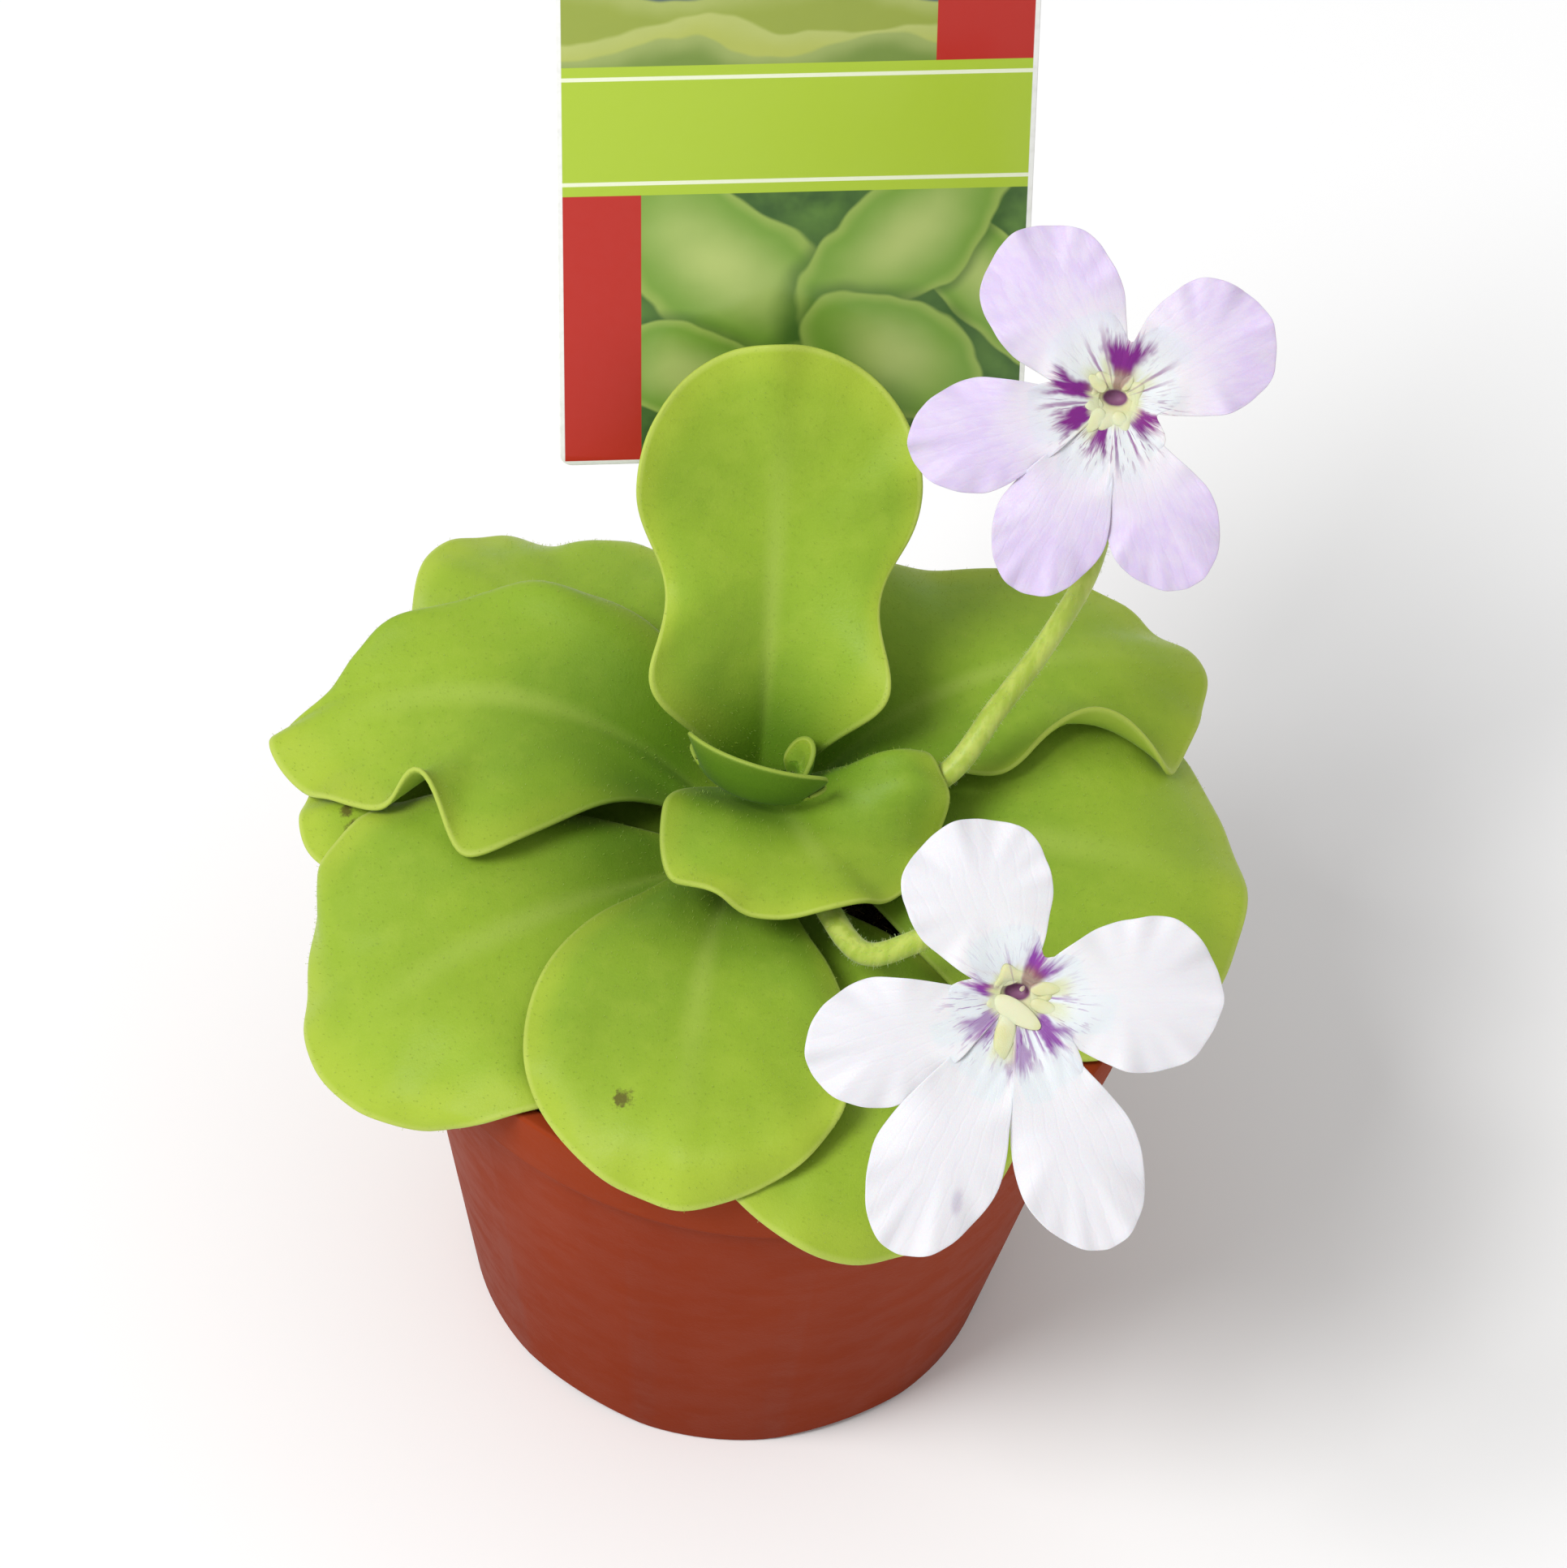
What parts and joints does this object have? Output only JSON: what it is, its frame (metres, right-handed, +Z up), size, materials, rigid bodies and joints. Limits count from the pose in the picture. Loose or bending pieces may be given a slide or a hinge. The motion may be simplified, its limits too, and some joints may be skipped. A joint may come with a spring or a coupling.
{
  "type": "potted butterwort",
  "caption": "Carnivorous rosette house plant in a round clay-coloured nursery pot of soil, with lilac and white blooms on bent stems and a plain picture label.",
  "frame": {"origin": "middle of the pot's underside, on the surface that the pot stands on", "axes": "+Z up along the pot's axis, +Y away from the front of the plant towards the label, +X to the right seen from the front"},
  "size_m": [0.1155, 0.1347, 0.1822],
  "materials": {
    "clay_plastic": "satin moulded plastic in clay red",
    "soil": "moist peat mix with crumbs and fine fibres",
    "crown": "pale fleshy stem",
    "leaf": "soft fleshy leaf with a greasy satin sheen and short gland hairs",
    "stem": "pale yellow-green flower stem with fine hairs",
    "petal_lilac": "thin matt petal, pale lilac with purple streaks round a cream throat",
    "petal_white": "thin matt petal, white with light purple marks round a cream throat",
    "label_card": "printed plastic card with a soft gloss"
  },
  "bodies": {
    "root": {"pot": "clay_plastic", "soil": "soil", "crown": "crown", "label": "label_card", "leaf_far_left": "leaf", "leaf_back_right_low": "leaf", "leaf_back_left_low": "leaf", "leaf_front_right_low": "leaf", "leaf_left_front": "leaf", "leaf_right_front": "leaf", "leaf_front": "leaf", "leaf_back_left": "leaf", "leaf_left": "leaf", "leaf_right": "leaf", "leaf_inner_front": "leaf", "leaf_erect": "leaf", "leaf_heart": "leaf", "leaf_bud": "leaf", "scape_white": "stem", "scape_lilac": "stem", "bloom_lilac": "petal_lilac", "bloom_white": "petal_white"}
  },
  "joints": []
}
